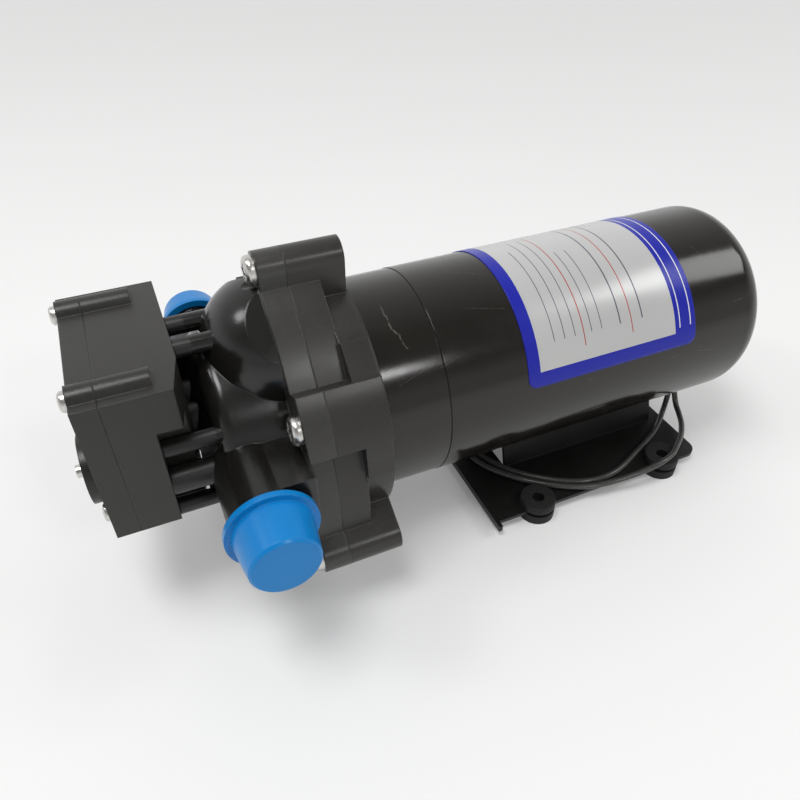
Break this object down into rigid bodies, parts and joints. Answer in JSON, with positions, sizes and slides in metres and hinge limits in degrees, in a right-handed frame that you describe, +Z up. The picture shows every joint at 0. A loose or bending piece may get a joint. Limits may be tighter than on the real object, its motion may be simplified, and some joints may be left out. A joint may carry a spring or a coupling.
{
  "type": "caravan water pump",
  "caption": "Automatic diaphragm water pump for a caravan: black motor on a footed base, domed pump head with side ports and blue caps, and a pressure switch in front.",
  "frame": {"origin": "centre of the four mounting feet, on the mounting plane", "axes": "+X along the motor axis towards the rear of the motor, +Y to the far port, +Z up from the mounting plane"},
  "size_m": [0.241, 0.132, 0.1106],
  "materials": {
    "black_paint": "gloss",
    "black_plastic": "satin",
    "black_rubber": "matte",
    "grey_plastic": "satin",
    "cap_blue": "satin",
    "label": "satin",
    "steel": "bright",
    "lamination": "satin",
    "copper": "satin",
    "bronze": "satin",
    "ferrite": "matte",
    "carbon": "matte",
    "lead_insulation": "satin"
  },
  "bodies": {
    "pump": {"base_plate": "black_paint", "rubber_feet": "black_rubber", "saddle_screws": "steel", "motor_can": "black_paint", "front_bell": "black_paint", "motor_label": "label", "magnets": "ferrite", "front_bush": "bronze", "rear_bush": "bronze", "brush_plate": "black_plastic", "brushes": "carbon", "brush_springs": "steel", "lower_housing": "black_plastic", "motor_screws": "steel", "diaphragm": "black_rubber", "valve_plate": "grey_plastic", "inlet_valves": "black_rubber", "outlet_valve": "black_rubber", "valve_plate_seal": "black_rubber", "upper_housing": "black_plastic", "head_screws": "steel", "switch_body": "black_plastic", "neck_seals": "black_rubber", "switch_cover": "black_plastic", "cover_screws": "steel", "switch_diaphragm": "black_rubber", "switch_spring": "steel", "adjusting_screw": "steel", "microswitch": "carbon", "check_valve_spring": "steel", "lead_grommet": "black_rubber", "inner_lead": "lead_insulation", "outer_lead": "lead_insulation", "lead_ends": "copper"},
    "rotor": {"motor_shaft": "steel", "armature_core": "lamination", "armature_windings": "copper", "commutator": "copper", "cam": "steel", "cam_set_screw": "steel", "cam_bearing_inner": "steel"},
    "wobbler": {"cam_bearing_balls": "steel", "cam_bearing_outer": "steel", "wobble_plate": "grey_plastic", "piston_discs": "grey_plastic", "piston_screws": "steel"},
    "near_cap": {"near_cap": "cap_blue"},
    "far_cap": {"far_cap": "cap_blue"},
    "plunger": {"switch_plunger": "grey_plastic"},
    "button": {"switch_button": "cap_blue"},
    "valve": {"check_valve": "grey_plastic"}
  },
  "joints": [
    {"name": "rotor_spin", "type": "hinge", "parent": "pump", "child": "rotor", "pos_m": [0, 0, 0.053], "axis": [1, 0, 0], "continuous": true},
    {"name": "wobble", "type": "hinge", "parent": "rotor", "child": "wobbler", "pos_m": [-0.101, 0, 0.053], "axis": [0.9976, 0, 0.0698], "continuous": true},
    {"name": "near_cap_pull", "type": "slide", "parent": "pump", "child": "near_cap", "axis": [0, -1, 0], "range_m": [0, 0.05]},
    {"name": "far_cap_pull", "type": "slide", "parent": "pump", "child": "far_cap", "axis": [0, 1, 0], "range_m": [0, 0.05]},
    {"name": "plunger_travel", "type": "slide", "parent": "pump", "child": "plunger", "axis": [-1, 0, 0], "range_m": [0, 0.001], "stiffness_N_per_m": 4000, "springref_m": -0.002, "deforming": ["switch_spring"]},
    {"name": "button_travel", "type": "slide", "parent": "pump", "child": "button", "axis": [-1, 0, 0], "range_m": [0, 0.001]},
    {"name": "check_valve_lift", "type": "slide", "parent": "pump", "child": "valve", "axis": [-1, 0, 0], "range_m": [0, 0.002], "stiffness_N_per_m": 150, "springref_m": -0.002, "deforming": ["check_valve_spring"]}
  ],
  "couplings": [
    {"joint": "wobble", "follows": "rotor_spin", "ratio": -1},
    {"joint": "button_travel", "follows": "plunger_travel", "ratio": 1}
  ]
}
